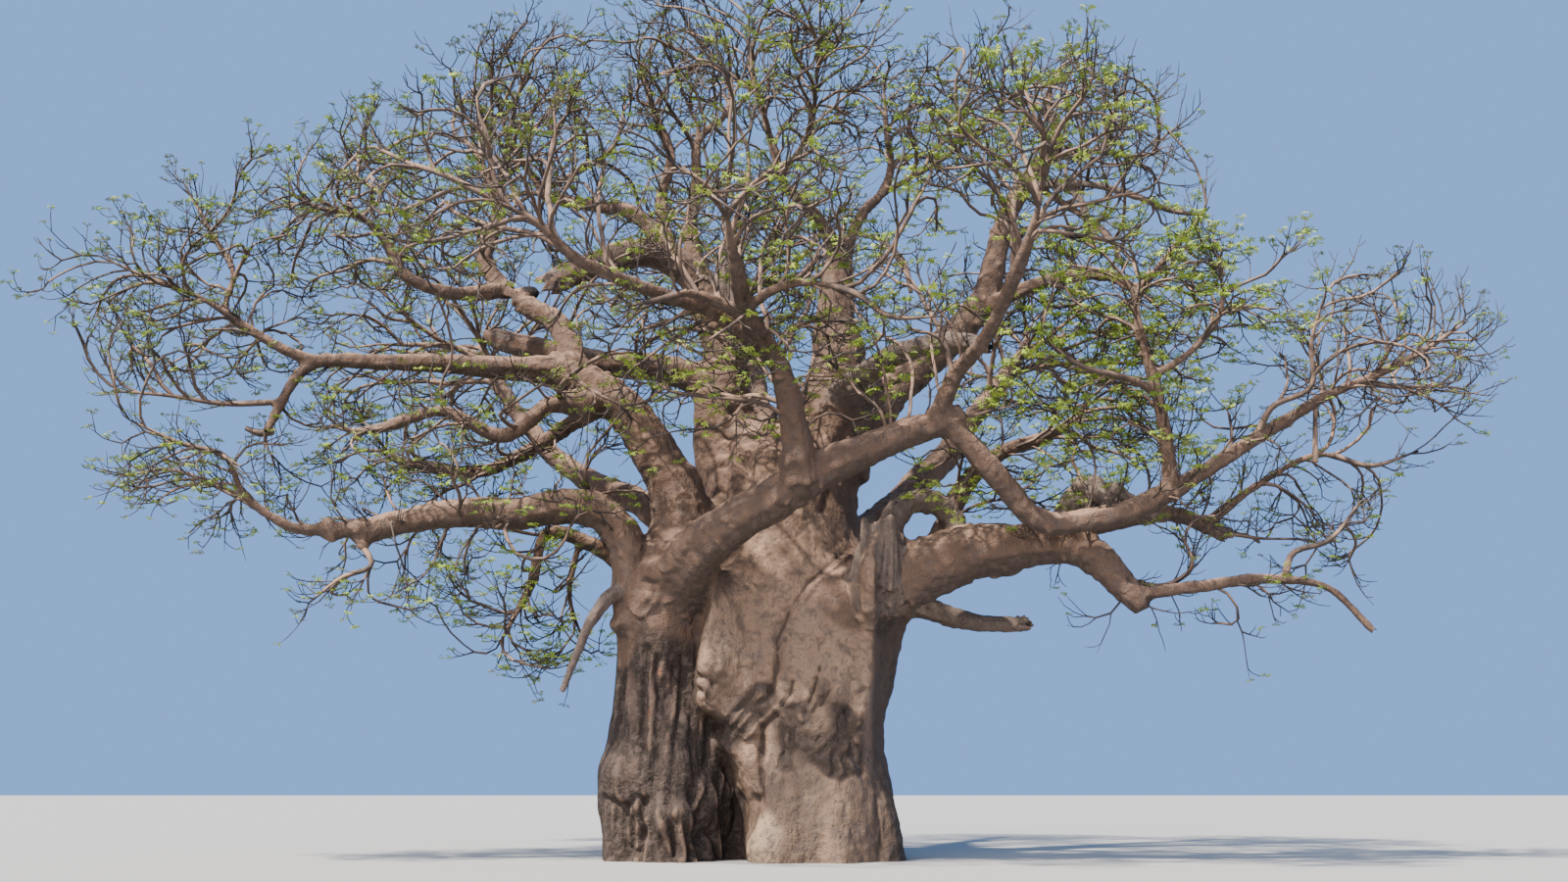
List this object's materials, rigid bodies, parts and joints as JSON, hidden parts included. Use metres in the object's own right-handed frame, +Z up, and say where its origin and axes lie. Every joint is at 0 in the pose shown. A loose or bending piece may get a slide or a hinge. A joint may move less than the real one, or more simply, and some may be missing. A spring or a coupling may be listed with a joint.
{
  "type": "baobab tree",
  "caption": "Very old, squat baobab in young spring leaf, with a fused double trunk, dropping limbs, broken limb ends and a wide open crown.",
  "frame": {"origin": "middle of the flat cut under the trunk, at ground level", "axes": "+Z up; +X along the widest way across the crown; -Y the open side, where a limb crosses the front of the trunk"},
  "size_m": [32.1, 24.1, 22.1],
  "materials": {
    "bark": "matte, folded and pitted living bark",
    "dead_wood": "matte, grey weathered dead wood",
    "foliage": "matte young leaves among thin grey twigs"
  },
  "bodies": {
    "root": {"trunk": "bark", "bough_left_low": "bark", "bough_left_low_tip": "bark", "bough_left_drooping": "bark", "dead_limb_left_hanging": "dead_wood", "bough_left_big": "bark", "bough_left_reach": "bark", "bough_far_left": "bark", "bough_left_upper": "bark", "bough_left_under": "bark", "bough_left_inner": "bark", "bough_left_hollow": "bark", "bough_upper_left": "bark", "bough_left_rise": "bark", "bough_upper_left_back": "bark", "bough_top_left": "bark", "bough_top_left_back": "bark", "bough_centre_left": "bark", "bough_centre_right": "bark", "bough_top_centre": "bark", "bough_top_right_centre": "bark", "bough_front_rise": "bark", "bough_front_left": "bark", "bough_front_diagonal": "bark", "bough_front_right": "bark", "bough_right_middle": "bark", "bough_far_right": "bark", "bough_right_rise": "bark", "bough_right_broken": "bark", "bough_right_low": "bark", "bough_right_low_tip": "bark", "bough_right_rear": "bark", "dead_arch_right": "dead_wood", "dead_stub_right": "dead_wood", "bough_top_right": "bark", "bough_top_right_side": "bark", "dead_limb_right_centre": "dead_wood", "bough_back_left": "bark", "bough_back_centre": "bark", "bough_back_right": "bark", "foliage_far_left": "foliage", "foliage_left_upper": "foliage", "foliage_left_low": "foliage", "foliage_left_inner": "foliage", "foliage_hanging_left": "foliage", "foliage_top_left": "foliage", "foliage_top_centre_left": "foliage", "foliage_top_centre": "foliage", "foliage_top_right_centre": "foliage", "foliage_top_right": "foliage", "foliage_right": "foliage", "foliage_far_right": "foliage", "foliage_right_low": "foliage", "foliage_right_inner": "foliage", "foliage_front_left": "foliage", "foliage_front_centre": "foliage", "foliage_front_right": "foliage", "foliage_back_left": "foliage", "foliage_back_centre": "foliage", "foliage_back_right": "foliage"}
  },
  "joints": []
}
